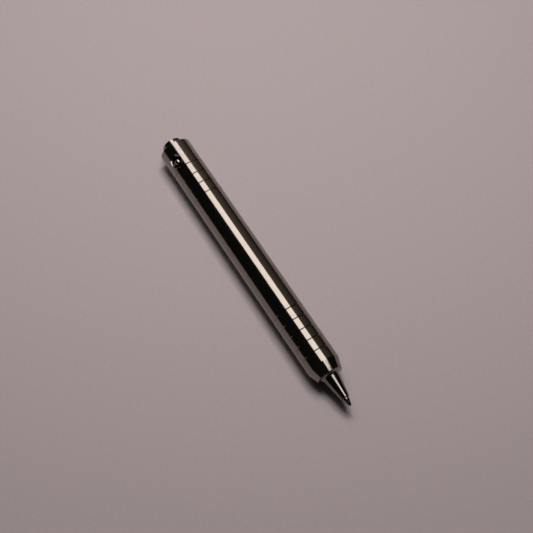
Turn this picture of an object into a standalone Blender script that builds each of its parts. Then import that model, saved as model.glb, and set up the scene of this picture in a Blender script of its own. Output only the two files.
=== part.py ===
"""Retractable twist pen: a turned metal barrel, a pinned tail knob and a helical cam that moves the refill.

The pen lies on its side along X with its point toward +X and touches z = 0. Stations are measured in
metres from the tail's end face along the pen's axis.
"""

import math

import bmesh
import bpy
from mathutils import Vector

# Overall sizes
BODY_RADIUS = 0.00635
BODY_SIDES = 32
INNER_SIDES = 24
SMALL_SIDES = 16
BODY_LENGTH = 0.11192
NOSE_LENGTH = 0.00975
TIP_REACH = 0.00323

# Clearances
RUN_FIT = 0.00005
SEAT_FIT = 0.00003
REST_GAP = 0.0003
NOSE_SEAT_GAP = 0.0001
STACK_GAP = 0.0001
SLOT_SIDE_FIT = 0.0001
FLANGE_FIT = 0.00015
COLLAR_FIT = 0.0002
REFILL_FIT = 0.0003
POINT_FIT = 0.00007
SPRING_FIT = 0.00015

# Tail knob
KNOB_SEAM = 0.0139
SEAM_WIDTH = 0.0003
TAIL_BOSS_RADIUS = 0.00393
TAIL_BOSS_LENGTH = 0.00285
EDGE_BREAK = 0.0001
KNOB_FLOOR = 0.0033

# Cross pin with ball ends, each in a counterbore
PIN_SETBACK = 0.0036
PIN_RADIUS = 0.00145
PIN_ANGLE = math.radians(36.4)
PIN_RECESS = 0.00015
COUNTERBORE_WIDTH = 0.00075
COUNTERBORE_DEPTH = 0.0016
COUNTERSINK_WIDTH = 0.00064

# Grooves round the barrel
GROOVE_PITCH = 0.00465
GROOVE_WIDTH = 0.0004
GROOVE_DEPTH = 0.0003
TAIL_GROOVE_SETBACK = 0.00507
TAIL_GROOVE_COUNT = 3
GRIP_GROOVE_SETBACK = 0.00868
GRIP_GROOVE_COUNT = 5

# Front taper and face
TAPER_LENGTH = 0.00416
TAPER_DROP = 0.0014

# Twist mechanism, in order from the knob forward and from the plunger outward
TRAVEL = 0.005
TWIST_ANGLE = math.pi
SHANK_RADIUS = 0.0034
COLLAR_LENGTH = 0.00195
FLANGE_LENGTH = 0.0014
WASHER_LENGTH = 0.0005
CAM_FLOOR_REACH = 0.0015
FOLLOWER_BACK_GAP = 0.002
FOLLOWER_TAIL = 0.005
FOLLOWER_CHAMFER = 0.0004
FOLLOWER_PIN_RADIUS = 0.00085
FOLLOWER_PIN_FLOOR = 0.0006
FOLLOWER_PIN_BACKSET = 0.00025
CAM_LIP = 0.004
MECHANISM_SPACE = 0.004
REFILL_SETBACK = 0.004
PLUNGER_RADIUS = 0.0031
CAM_WALL = 0.00075
SLEEVE_WALL = 0.0007
FRICTION_WIRE = 0.00026
FRICTION_GROOVE = 0.00045
FRICTION_GROOVE_HALF = 0.0004

# Refill
TUBE_WALL = 0.00045
PLUG_HEAD = 0.00197
PLUG_SPIGOT = 0.003
PLUG_CHAMFER = 0.0003
SHOULDER_GAP = 0.0012
SHOULDER_LENGTH = 0.002
SHOULDER_CHAMFER = 0.0005
NOSE_SPIGOT = 0.0035
AIR_SPACE = 0.014
FLOAT_LENGTH = 0.003
STEM_RADIUS = 0.00115
STEM_WALL = 0.00035
CHANNEL_WALL = 0.0003
POINT_SOCKET = 0.004
POINT_SHANK_LENGTH = 0.0054
POINT_CONE_LENGTH = 0.0025
POINT_LIP = 0.00003
BALL_RADIUS = 0.00036
BALL_PROUD = 0.0002
FEED_RADIUS = 0.0002

# Nose cone
NOSE_SHANK_LENGTH = 0.00772
NOSE_POCKET_REACH = 0.00308
NOSE_SHOULDER = 0.000535
NOSE_FILLET = 0.0014
NOSE_FLANGE_LIP = 0.0001
NOSE_FLANGE_LENGTH = 0.0004
CONE_LIP = 0.00037
SEAL_WIRE = 0.00022
SEAL_WALL = 0.00035
SEAL_COVER = 0.00045
SEAL_SETBACK = 0.0018

# Return spring
SPRING_WIRE_RADIUS = 0.00025
SPRING_CLOSED_GAP = 0.00012
SPRING_ACTIVE_TURNS = 7
SPRING_POINTS = 14

# Stations along the pen that follow from the sizes above
CONE_BASE_STATION = BODY_LENGTH
CONE_END_STATION = CONE_BASE_STATION + NOSE_LENGTH
TOTAL_LENGTH = CONE_END_STATION + TIP_REACH
AXIS_HEIGHT = BODY_RADIUS * math.cos(math.pi / BODY_SIDES)
BARREL_START = KNOB_SEAM + SEAM_WIDTH / 2.0
KNOB_END = KNOB_SEAM - SEAM_WIDTH / 2.0
PIN_STATION = KNOB_SEAM - PIN_SETBACK
TAIL_GROOVE_FIRST = KNOB_SEAM + TAIL_GROOVE_SETBACK
GRIP_GROOVE_LAST = BODY_LENGTH - GRIP_GROOVE_SETBACK
TAPER_START = BODY_LENGTH - TAPER_LENGTH
COLLAR_START = BARREL_START + REST_GAP
FLANGE_START = COLLAR_START + COLLAR_LENGTH + STACK_GAP
FLANGE_END = FLANGE_START + FLANGE_LENGTH
WASHER_START = FLANGE_END + STACK_GAP
SLEEVE_START = WASHER_START + WASHER_LENGTH + STACK_GAP
CAM_FLOOR = SLEEVE_START + CAM_FLOOR_REACH
FOLLOWER_PIN_STATION = CAM_FLOOR + FOLLOWER_BACK_GAP + FOLLOWER_TAIL + TRAVEL
CAM_END = FOLLOWER_PIN_STATION + CAM_LIP
MECHANISM_END = CAM_END + MECHANISM_SPACE
SLEEVE_END = MECHANISM_END - REST_GAP
REFILL_REAR = MECHANISM_END + REFILL_SETBACK
NOSE_FLANGE_START = CONE_BASE_STATION - NOSE_FLANGE_LENGTH
NOSE_SHANK_START = CONE_BASE_STATION - NOSE_SHANK_LENGTH
NOSE_POCKET_END = CONE_BASE_STATION + NOSE_POCKET_REACH
SEAL_STATION = BODY_LENGTH - SEAL_SETBACK
SHOULDER_STATION = NOSE_SHANK_START - SHOULDER_GAP
TUBE_END = SHOULDER_STATION - SHOULDER_LENGTH
TUBE_START = REFILL_REAR + PLUG_HEAD + SEAT_FIT
INK_START = TUBE_START + AIR_SPACE
POINT_SHANK_END = TOTAL_LENGTH - POINT_CONE_LENGTH
STEM_END = POINT_SHANK_END - POINT_SHANK_LENGTH

# Radii that follow from the sizes above
FACE_RADIUS = BODY_RADIUS - TAPER_DROP
COUNTERBORE_RADIUS = PIN_RADIUS + SEAT_FIT + COUNTERBORE_WIDTH
FOLLOWER_RADIUS = PLUNGER_RADIUS
CAM_BORE = PLUNGER_RADIUS + 2.0 * RUN_FIT
CAM_RADIUS = CAM_BORE + CAM_WALL
SLEEVE_BORE = CAM_RADIUS + 2.0 * RUN_FIT
SLEEVE_RADIUS = SLEEVE_BORE + SLEEVE_WALL
MECHANISM_BORE = SLEEVE_RADIUS + RUN_FIT
FLANGE_RADIUS = MECHANISM_BORE - FLANGE_FIT
FRICTION_FLOOR = SHANK_RADIUS - FRICTION_GROOVE
REFILL_BORE = PLUNGER_RADIUS + 2.0 * RUN_FIT
REFILL_RADIUS = REFILL_BORE - REFILL_FIT
TUBE_BORE = REFILL_RADIUS - TUBE_WALL
STEM_BORE = STEM_RADIUS - STEM_WALL
INK_CHANNEL = STEM_BORE - CHANNEL_WALL
POINT_LIP_RADIUS = BALL_RADIUS + SEAT_FIT + POINT_LIP
SPRING_COIL_RADIUS = STEM_RADIUS + SPRING_FIT + SPRING_WIRE_RADIUS
NOSE_POCKET_RADIUS = SPRING_COIL_RADIUS + SPRING_WIRE_RADIUS + SPRING_FIT
SEAL_FLOOR = NOSE_POCKET_RADIUS + SEAL_WALL
NOSE_SHANK_RADIUS = SEAL_FLOOR + SEAL_COVER
CONE_BASE_RADIUS = NOSE_SHANK_RADIUS + NOSE_SHOULDER
POINT_HOLE = STEM_RADIUS + POINT_FIT
CONE_END_RADIUS = POINT_HOLE + CONE_LIP
CONE_LEAN = math.atan2(CONE_BASE_RADIUS - CONE_END_RADIUS, NOSE_LENGTH)
FILLET_OUTER_RADIUS = CONE_BASE_RADIUS + NOSE_FILLET * (1.0 / math.cos(CONE_LEAN) - math.tan(CONE_LEAN))
NOSE_FLANGE_RADIUS = FILLET_OUTER_RADIUS + NOSE_FLANGE_LIP

COLLECTION_NAME = "retractable_pen"


def clear_scene():
    """Remove every object so the model starts from an empty scene."""
    for item in list(bpy.data.objects):
        bpy.data.objects.remove(item, do_unlink=True)


def new_collection(name):
    """Return a collection of that name linked to the scene."""
    group = bpy.data.collections.new(name)
    bpy.context.scene.collection.children.link(group)
    return group


def metal(name, colour, roughness, metallic):
    """Return a Principled material of one colour."""
    material = bpy.data.materials.new(name)
    material.use_nodes = True
    shader = material.node_tree.nodes["Principled BSDF"]
    shader.inputs["Base Color"].default_value = (*colour, 1.0)
    shader.inputs["Roughness"].default_value = roughness
    shader.inputs["Metallic"].default_value = metallic
    return material


def finish_mesh(item, material):
    """Give an object its material and smooth its round faces."""
    item.data.materials.clear()
    item.data.materials.append(material)
    item.data.shade_smooth()
    item.data.set_sharp_from_angle(angle=math.radians(35.0))


def turned(name, profile, closed, sides, material, group, parent, station):
    """Turn a profile of (radius, height) points round its own Z axis."""
    mesh = bpy.data.meshes.new(name)
    shape = bmesh.new()
    points = [shape.verts.new((radius, 0.0, height)) for radius, height in profile]
    for first, second in zip(points, points[1:]):
        shape.edges.new((first, second))
    if closed:
        shape.edges.new((points[-1], points[0]))
    shape.to_mesh(mesh)
    shape.free()
    item = bpy.data.objects.new(name, mesh)
    group.objects.link(item)
    item.parent = parent
    item.location = (0.0, 0.0, station)
    item.rotation_euler = (0.0, 0.0, math.pi / sides)
    screw = item.modifiers.new("turning", "SCREW")
    screw.axis = "Z"
    screw.angle = 2.0 * math.pi
    screw.steps = sides
    screw.render_steps = sides
    screw.use_merge_vertices = True
    screw.merge_threshold = 0.000001
    screw.use_smooth_shade = True
    mesh.materials.append(material)
    return item


def cut(item, cutter):
    """Subtract a cutter from an object."""
    change = item.modifiers.new("cut_" + cutter.name, "BOOLEAN")
    change.operation = "DIFFERENCE"
    change.solver = "EXACT"
    change.object = cutter


def hide_cutter(item):
    """Mark an object as a cutter."""
    item.hide_render = True
    item.display_type = "WIRE"


def across(item, angle):
    """Point an object's Z axis straight out from the pen's axis, angle measured from the top."""
    item.rotation_euler = (0.0, math.pi / 2.0, math.atan2(-math.sin(angle), -math.cos(angle)))


def tube_along(name, points, radius, group, parent, material):
    """Make a closed round tube along points and turn it into a mesh."""
    data = bpy.data.curves.new(name + "_path", "CURVE")
    data.dimensions = "3D"
    data.bevel_depth = radius
    data.bevel_resolution = 2
    data.use_fill_caps = True
    spline = data.splines.new("POLY")
    spline.points.add(len(points) - 1)
    for target, point in zip(spline.points, points):
        target.co = (*point, 1.0)
    path = bpy.data.objects.new(name + "_path", data)
    group.objects.link(path)
    path.parent = parent
    bpy.context.view_layer.update()
    graph = bpy.context.evaluated_depsgraph_get()
    mesh = bpy.data.meshes.new_from_object(path.evaluated_get(graph))
    shape = bmesh.new()
    shape.from_mesh(mesh)
    bmesh.ops.remove_doubles(shape, verts=shape.verts, dist=0.000001)
    bmesh.ops.recalc_face_normals(shape, faces=shape.faces)
    shape.to_mesh(mesh)
    shape.free()
    mesh.name = name
    item = bpy.data.objects.new(name, mesh)
    group.objects.link(item)
    item.matrix_world = path.matrix_world
    bpy.data.objects.remove(path, do_unlink=True)
    finish_mesh(item, material)
    return item


def ring(name, coil_radius, wire_radius, station, material, group, parent):
    """Make an O-ring round the pen's axis."""
    bpy.ops.mesh.primitive_torus_add(
        major_segments=INNER_SIDES,
        minor_segments=8,
        major_radius=coil_radius,
        minor_radius=wire_radius,
    )
    item = bpy.context.object
    item.name = name
    for owner in list(item.users_collection):
        owner.objects.unlink(item)
    group.objects.link(item)
    item.parent = parent
    item.location = (0.0, 0.0, station)
    finish_mesh(item, material)
    return item


def groove(station):
    """Return the outline of one groove, front edge first."""
    half = GROOVE_WIDTH / 2.0
    floor = BODY_RADIUS - GROOVE_DEPTH
    return [
        (BODY_RADIUS, station + half),
        (floor, station + 0.6 * half),
        (floor, station - 0.6 * half),
        (BODY_RADIUS, station - half),
    ]


def build_barrel(material, group, parent):
    """Barrel: grooved outside, stepped bore, front taper and a face with a recess for the cone's flange."""
    thread_bore = NOSE_SHANK_RADIUS + RUN_FIT
    recess_radius = NOSE_FLANGE_RADIUS + RUN_FIT
    recess_floor = NOSE_FLANGE_START - NOSE_SEAT_GAP
    profile = [
        (thread_bore, recess_floor),
        (recess_radius, recess_floor),
        (recess_radius, BODY_LENGTH),
        (FACE_RADIUS - EDGE_BREAK, BODY_LENGTH),
        (FACE_RADIUS, BODY_LENGTH - EDGE_BREAK),
        (BODY_RADIUS, TAPER_START),
    ]
    grip = [GRIP_GROOVE_LAST - GROOVE_PITCH * step for step in reversed(range(GRIP_GROOVE_COUNT))]
    tail = [TAIL_GROOVE_FIRST + GROOVE_PITCH * step for step in range(TAIL_GROOVE_COUNT)]
    for station in reversed(tail + grip):
        profile += groove(station)
    profile += [
        (BODY_RADIUS, BARREL_START + EDGE_BREAK),
        (BODY_RADIUS - EDGE_BREAK, BARREL_START),
        (MECHANISM_BORE, BARREL_START),
        (MECHANISM_BORE, MECHANISM_END),
        (REFILL_BORE, MECHANISM_END),
        (REFILL_BORE, NOSE_SHANK_START - REST_GAP),
        (thread_bore, NOSE_SHANK_START - REST_GAP),
    ]
    return turned("barrel", profile, True, BODY_SIDES, material, group, parent, 0.0)


def build_knob(material, group, parent):
    """Tail knob: stepped end boss and a blind bore for the cam's shank."""
    bore = SHANK_RADIUS + RUN_FIT
    profile = [
        (0.0, KNOB_FLOOR),
        (bore, KNOB_FLOOR),
        (bore, KNOB_END),
        (BODY_RADIUS - EDGE_BREAK, KNOB_END),
        (BODY_RADIUS, KNOB_END - EDGE_BREAK),
        (BODY_RADIUS, TAIL_BOSS_LENGTH + EDGE_BREAK),
        (BODY_RADIUS - EDGE_BREAK, TAIL_BOSS_LENGTH),
        (TAIL_BOSS_RADIUS, TAIL_BOSS_LENGTH),
        (TAIL_BOSS_RADIUS, EDGE_BREAK),
        (TAIL_BOSS_RADIUS - EDGE_BREAK, 0.0),
        (0.0, 0.0),
    ]
    return turned("tail_knob", profile, False, BODY_SIDES, material, group, parent, 0.0)


def cross_hole_profile():
    """Return the outline of the cross hole with a counterbore and a countersink at both ends."""
    radius = PIN_RADIUS + SEAT_FIT
    floor = BODY_RADIUS - COUNTERBORE_DEPTH
    sink = BODY_RADIUS - COUNTERSINK_WIDTH
    past = BODY_RADIUS * 1.3
    wide = COUNTERBORE_RADIUS + past - sink
    return [
        (0.0, past),
        (wide, past),
        (COUNTERBORE_RADIUS, sink),
        (COUNTERBORE_RADIUS, floor),
        (radius, floor),
        (radius, -floor),
        (COUNTERBORE_RADIUS, -floor),
        (COUNTERBORE_RADIUS, -sink),
        (wide, -past),
        (0.0, -past),
    ]


def ball_points(centre_height, radius, count):
    """Return points over the upper half of a ball, from its top to its widest place."""
    points = []
    for step in range(count + 1):
        angle = math.pi / 2.0 * step / count
        points.append((radius * math.sin(angle), centre_height + radius * math.cos(angle)))
    return points


def build_knob_pin(material, group, parent):
    """Cross pin: a straight pin with a ball end in each counterbore."""
    upper = ball_points(BODY_RADIUS - PIN_RECESS - PIN_RADIUS, PIN_RADIUS, 6)
    lower = [(radius, -height) for radius, height in reversed(upper)]
    item = turned("knob_pin", upper + lower, False, INNER_SIDES, material, group, parent, PIN_STATION)
    across(item, PIN_ANGLE)
    return item


def build_cam(material, group, parent):
    """Cam tube: pinned shank, flange and a bored front with the helical slot."""
    groove_centre = COLLAR_START + COLLAR_LENGTH / 2.0
    profile = [
        (0.0, CAM_FLOOR),
        (CAM_BORE, CAM_FLOOR),
        (CAM_BORE, CAM_END),
        (CAM_RADIUS, CAM_END),
        (CAM_RADIUS, FLANGE_END),
        (FLANGE_RADIUS, FLANGE_END),
        (FLANGE_RADIUS, FLANGE_START),
        (SHANK_RADIUS, FLANGE_START),
        (SHANK_RADIUS, groove_centre + FRICTION_GROOVE_HALF),
        (FRICTION_FLOOR, groove_centre + FRICTION_GROOVE_HALF),
        (FRICTION_FLOOR, groove_centre - FRICTION_GROOVE_HALF),
        (SHANK_RADIUS, groove_centre - FRICTION_GROOVE_HALF),
        (SHANK_RADIUS, KNOB_FLOOR + REST_GAP),
        (0.0, KNOB_FLOOR + REST_GAP),
    ]
    return turned("cam_tube", profile, False, INNER_SIDES, material, group, parent, 0.0)


def helix_points():
    """Return the path that the follower pin takes round the cam, as the cam sees it."""
    middle = (CAM_RADIUS + CAM_BORE) / 2.0
    spare = (FOLLOWER_PIN_RADIUS + 2.0 * SLOT_SIDE_FIT) / middle
    count = 40
    points = []
    for step in range(count + 1):
        turn = -spare + (TWIST_ANGLE + 2.0 * spare) * step / count
        angle = math.pi - turn
        height = FOLLOWER_PIN_STATION - TRAVEL * turn / TWIST_ANGLE
        points.append((middle * math.cos(angle), middle * math.sin(angle), height))
    return points


def build_sleeve(material, group, parent):
    """Guide sleeve: a plain tube fixed in the barrel."""
    profile = [
        (SLEEVE_RADIUS, SLEEVE_END),
        (SLEEVE_RADIUS, SLEEVE_START),
        (SLEEVE_BORE, SLEEVE_START),
        (SLEEVE_BORE, SLEEVE_END),
    ]
    return turned("guide_sleeve", profile, True, INNER_SIDES, material, group, parent, 0.0)


def slot_cutter(group, parent):
    """Return the straight slot's cutter, a block on the top side of the sleeve."""
    mesh = bpy.data.meshes.new("straight_slot")
    shape = bmesh.new()
    bmesh.ops.create_cube(shape, size=1.0)
    length = TRAVEL + 2.0 * (FOLLOWER_PIN_RADIUS + 2.0 * SLOT_SIDE_FIT)
    width = 2.0 * (FOLLOWER_PIN_RADIUS + SLOT_SIDE_FIT)
    bmesh.ops.scale(shape, vec=Vector((SLEEVE_BORE, width, length)), verts=shape.verts)
    shape.to_mesh(mesh)
    shape.free()
    item = bpy.data.objects.new("straight_slot", mesh)
    group.objects.link(item)
    item.parent = parent
    item.location = (-SLEEVE_BORE, 0.0, FOLLOWER_PIN_STATION - TRAVEL / 2.0)
    hide_cutter(item)
    return item


def build_follower(material, group, parent):
    """Follower: a plunger with chamfered ends."""
    rear = FOLLOWER_PIN_STATION - FOLLOWER_TAIL
    front = REFILL_REAR - NOSE_SEAT_GAP
    chamfer = FOLLOWER_CHAMFER
    profile = [
        (0.0, front),
        (FOLLOWER_RADIUS - chamfer, front),
        (FOLLOWER_RADIUS, front - chamfer),
        (FOLLOWER_RADIUS, rear + chamfer),
        (FOLLOWER_RADIUS - chamfer, rear),
        (0.0, rear),
    ]
    return turned("follower", profile, False, INNER_SIDES, material, group, parent, 0.0)


def peg(name, radius, low, high, sides, material, group, parent, station):
    """Make a plain round peg that stands out from the pen's axis toward the top."""
    profile = [(0.0, high), (radius, high), (radius, low), (0.0, low)]
    item = turned(name, profile, False, sides, material, group, parent, station)
    across(item, 0.0)
    return item


def plain_ring(name, outer, inner, start, end, sides, material, group, parent):
    """Make a flat-ended ring or tube on the pen's axis."""
    profile = [(outer, end), (outer, start), (inner, start), (inner, end)]
    return turned(name, profile, True, sides, material, group, parent, 0.0)


def plain_rod(name, radius, start, end, sides, material, group, parent):
    """Make a flat-ended rod on the pen's axis."""
    profile = [(0.0, end), (radius, end), (radius, start), (0.0, start)]
    return turned(name, profile, False, sides, material, group, parent, 0.0)


def build_refill(looks, group, parent):
    """Refill: plug, tube, float, ink, stepped nose and point."""
    spigot = TUBE_BORE - RUN_FIT
    plug = [
        (0.0, REFILL_REAR + PLUG_HEAD + PLUG_SPIGOT),
        (spigot, REFILL_REAR + PLUG_HEAD + PLUG_SPIGOT),
        (spigot, REFILL_REAR + PLUG_HEAD),
        (REFILL_RADIUS, REFILL_REAR + PLUG_HEAD),
        (REFILL_RADIUS, REFILL_REAR + PLUG_CHAMFER),
        (REFILL_RADIUS - PLUG_CHAMFER, REFILL_REAR),
        (0.0, REFILL_REAR),
    ]
    turned("refill_plug", plug, False, SMALL_SIDES, looks["plastic"], group, parent, 0.0)
    plain_ring(
        "refill_tube", REFILL_RADIUS, TUBE_BORE, TUBE_START, TUBE_END, INNER_SIDES, looks["brass"], group, parent
    )
    nose_rear = TUBE_END - NOSE_SPIGOT
    plain_rod("ink_column", spigot, INK_START, nose_rear - REST_GAP, SMALL_SIDES, looks["ink"], group, parent)
    float_end = INK_START - REST_GAP
    plain_rod(
        "ink_float", spigot, float_end - FLOAT_LENGTH, float_end, SMALL_SIDES, looks["plastic"], group, parent
    )
    nose = [
        (STEM_RADIUS, STEM_END),
        (STEM_RADIUS, SHOULDER_STATION),
        (REFILL_RADIUS - SHOULDER_CHAMFER, SHOULDER_STATION),
        (REFILL_RADIUS, SHOULDER_STATION - SHOULDER_CHAMFER),
        (REFILL_RADIUS, TUBE_END + SEAT_FIT),
        (spigot, TUBE_END + SEAT_FIT),
        (spigot, nose_rear),
        (INK_CHANNEL, nose_rear),
        (INK_CHANNEL, STEM_END - POINT_SOCKET - REST_GAP),
        (STEM_BORE, STEM_END - POINT_SOCKET - REST_GAP),
        (STEM_BORE, STEM_END),
    ]
    turned("refill_nose", nose, True, SMALL_SIDES, looks["plastic"], group, parent, 0.0)
    ball_centre = TOTAL_LENGTH - BALL_RADIUS
    socket = BALL_RADIUS + SEAT_FIT
    lip_station = TOTAL_LENGTH - BALL_PROUD
    point = [
        (math.sqrt(socket ** 2 - (lip_station - ball_centre) ** 2), lip_station),
        (POINT_LIP_RADIUS, lip_station),
        (STEM_RADIUS, POINT_SHANK_END),
        (STEM_RADIUS, STEM_END + SEAT_FIT),
        (STEM_BORE - SEAT_FIT, STEM_END + SEAT_FIT),
        (STEM_BORE - SEAT_FIT, STEM_END - POINT_SOCKET),
        (FEED_RADIUS, STEM_END - POINT_SOCKET),
    ]
    start_angle = math.asin(FEED_RADIUS / socket)
    end_angle = math.pi - math.asin(point[0][0] / socket)
    for step in range(6):
        angle = start_angle + (end_angle - start_angle) * step / 6.0
        point.append((socket * math.sin(angle), ball_centre - socket * math.cos(angle)))
    turned("refill_tip", point, True, SMALL_SIDES, looks["point"], group, parent, 0.0)
    return ball_centre


def build_ball(material, group, parent, station):
    """Writing ball in the point's socket."""
    mesh = bpy.data.meshes.new("writing_ball")
    shape = bmesh.new()
    bmesh.ops.create_uvsphere(shape, u_segments=12, v_segments=8, radius=BALL_RADIUS)
    shape.to_mesh(mesh)
    shape.free()
    item = bpy.data.objects.new("writing_ball", mesh)
    group.objects.link(item)
    item.parent = parent
    item.location = (0.0, 0.0, station)
    finish_mesh(item, material)
    return item


def fillet_points(count):
    """Return the hollow rounding between the cone and its flange, cone side first."""
    points = []
    for step in range(count + 1):
        angle = CONE_LEAN + (math.pi / 2.0 - CONE_LEAN) * step / count
        radius = FILLET_OUTER_RADIUS - NOSE_FILLET * math.cos(angle)
        points.append((radius, CONE_BASE_STATION + NOSE_FILLET * (1.0 - math.sin(angle))))
    return points


def build_nose(material, group, parent):
    """Nose cone: slim cone with a filleted flange, threaded shank, spring pocket and point hole."""
    half = SEAL_WIRE + 2.0 * RUN_FIT
    profile = [
        (POINT_HOLE, CONE_END_STATION),
        (CONE_END_RADIUS - EDGE_BREAK, CONE_END_STATION),
        (CONE_END_RADIUS, CONE_END_STATION - EDGE_BREAK),
    ]
    profile += fillet_points(6)
    profile += [
        (NOSE_FLANGE_RADIUS, CONE_BASE_STATION),
        (NOSE_FLANGE_RADIUS, NOSE_FLANGE_START),
        (NOSE_SHANK_RADIUS, NOSE_FLANGE_START),
        (NOSE_SHANK_RADIUS, SEAL_STATION + half),
        (SEAL_FLOOR, SEAL_STATION + half),
        (SEAL_FLOOR, SEAL_STATION - half),
        (NOSE_SHANK_RADIUS, SEAL_STATION - half),
        (NOSE_SHANK_RADIUS, NOSE_SHANK_START),
        (NOSE_POCKET_RADIUS, NOSE_SHANK_START),
        (NOSE_POCKET_RADIUS, NOSE_POCKET_END),
        (POINT_HOLE, NOSE_POCKET_END),
    ]
    return turned("nose_cone", profile, True, INNER_SIDES, material, group, parent, 0.0)


def spring_points():
    """Return the spring's path: one closed coil at each end and open coils between."""
    start = SHOULDER_STATION + REST_GAP + SPRING_WIRE_RADIUS
    end = NOSE_POCKET_END - REST_GAP - SPRING_WIRE_RADIUS
    closed_pitch = 2.0 * SPRING_WIRE_RADIUS + SPRING_CLOSED_GAP
    open_pitch = (end - start - 2.0 * closed_pitch) / SPRING_ACTIVE_TURNS
    turns = SPRING_ACTIVE_TURNS + 2
    count = turns * SPRING_POINTS
    points = []
    for step in range(count + 1):
        turn = step / SPRING_POINTS
        height = start + closed_pitch * min(turn, 1.0)
        height += open_pitch * min(max(turn - 1.0, 0.0), SPRING_ACTIVE_TURNS)
        height += closed_pitch * max(turn - 1.0 - SPRING_ACTIVE_TURNS, 0.0)
        angle = 2.0 * math.pi * turn
        points.append((SPRING_COIL_RADIUS * math.cos(angle), SPRING_COIL_RADIUS * math.sin(angle), height))
    return points


def main():
    """Build the whole pen."""
    clear_scene()
    parts = new_collection(COLLECTION_NAME)
    cutters = new_collection("cutters")
    looks = {
        "steel": metal("polished_steel", (0.26, 0.245, 0.22), 0.10, 1.0),
        "knob": metal("polished_knob_steel", (0.26, 0.245, 0.22), 0.16, 1.0),
        "pin": metal("pin_steel", (0.35, 0.34, 0.33), 0.08, 1.0),
        "nose": metal("nose_steel", (0.21, 0.195, 0.175), 0.10, 1.0),
        "point": metal("point_steel", (0.155, 0.148, 0.135), 0.12, 1.0),
        "ball": metal("carbide", (0.22, 0.22, 0.225), 0.10, 1.0),
        "spring": metal("spring_steel", (0.55, 0.55, 0.55), 0.30, 1.0),
        "brass": metal("tube_brass", (0.70, 0.55, 0.28), 0.30, 1.0),
        "bronze": metal("bearing_bronze", (0.55, 0.38, 0.20), 0.35, 1.0),
        "cam": metal("cam_steel", (0.45, 0.45, 0.46), 0.30, 1.0),
        "plastic": metal("white_plastic", (0.75, 0.75, 0.73), 0.45, 0.0),
        "rubber": metal("black_rubber", (0.02, 0.02, 0.02), 0.70, 0.0),
        "ink": metal("ink", (0.01, 0.01, 0.03), 0.35, 0.0),
    }

    axis = bpy.data.objects.new("pen_axis", None)
    parts.objects.link(axis)
    axis.location = (-TOTAL_LENGTH / 2.0, 0.0, AXIS_HEIGHT)
    axis.rotation_euler = (0.0, math.pi / 2.0, 0.0)
    twist_axis = bpy.data.objects.new("twist_axis", None)
    parts.objects.link(twist_axis)
    twist_axis.parent = axis
    slide_axis = bpy.data.objects.new("slide_axis", None)
    parts.objects.link(slide_axis)
    slide_axis.parent = axis
    bpy.context.view_layer.update()

    # Fixed pieces
    build_barrel(looks["steel"], parts, axis)
    build_nose(looks["nose"], parts, axis)
    ring("nose_ring", SEAL_FLOOR + SEAL_WIRE + SEAT_FIT, SEAL_WIRE, SEAL_STATION, looks["rubber"], parts, axis)
    sleeve = build_sleeve(looks["bronze"], parts, axis)
    cut(sleeve, slot_cutter(cutters, axis))
    plain_ring(
        "thrust_washer",
        FLANGE_RADIUS,
        SLEEVE_BORE,
        WASHER_START,
        WASHER_START + WASHER_LENGTH,
        INNER_SIDES,
        looks["plastic"],
        parts,
        axis,
    )
    plain_ring(
        "lock_collar",
        MECHANISM_BORE - RUN_FIT,
        SHANK_RADIUS + COLLAR_FIT,
        COLLAR_START,
        COLLAR_START + COLLAR_LENGTH,
        INNER_SIDES,
        looks["bronze"],
        parts,
        axis,
    )
    tube_along("return_spring", spring_points(), SPRING_WIRE_RADIUS, parts, axis, looks["spring"])

    # Pieces that turn with the knob
    knob = build_knob(looks["knob"], parts, twist_axis)
    cam = build_cam(looks["cam"], parts, twist_axis)
    build_knob_pin(looks["pin"], parts, twist_axis)
    hole = turned(
        "cross_hole", cross_hole_profile(), False, INNER_SIDES, looks["knob"], cutters, twist_axis, PIN_STATION
    )
    across(hole, PIN_ANGLE)
    hide_cutter(hole)
    cut(knob, hole)
    cut(cam, hole)
    helix = tube_along(
        "helical_slot",
        helix_points(),
        FOLLOWER_PIN_RADIUS + 2.0 * SLOT_SIDE_FIT,
        cutters,
        twist_axis,
        looks["cam"],
    )
    hide_cutter(helix)
    cut(cam, helix)
    ring(
        "friction_ring",
        FRICTION_FLOOR + FRICTION_WIRE + SEAT_FIT,
        FRICTION_WIRE,
        COLLAR_START + COLLAR_LENGTH / 2.0,
        looks["rubber"],
        parts,
        twist_axis,
    )

    # Pieces that slide with the refill
    follower = build_follower(looks["cam"], parts, slide_axis)
    peg_hole = peg(
        "follower_hole",
        FOLLOWER_PIN_RADIUS + SEAT_FIT,
        FOLLOWER_PIN_FLOOR - SEAT_FIT,
        CAM_RADIUS,
        SMALL_SIDES,
        looks["cam"],
        cutters,
        slide_axis,
        FOLLOWER_PIN_STATION,
    )
    hide_cutter(peg_hole)
    cut(follower, peg_hole)
    peg(
        "follower_pin",
        FOLLOWER_PIN_RADIUS,
        FOLLOWER_PIN_FLOOR,
        MECHANISM_BORE - FOLLOWER_PIN_BACKSET,
        SMALL_SIDES,
        looks["pin"],
        parts,
        slide_axis,
        FOLLOWER_PIN_STATION,
    )
    ball_station = build_refill(looks, parts, slide_axis)
    build_ball(looks["ball"], parts, slide_axis, ball_station)


main()
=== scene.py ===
import logging
import math
from dataclasses import dataclass
from enum import Enum

import bmesh
import bpy
from mathutils import Matrix, Vector


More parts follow.
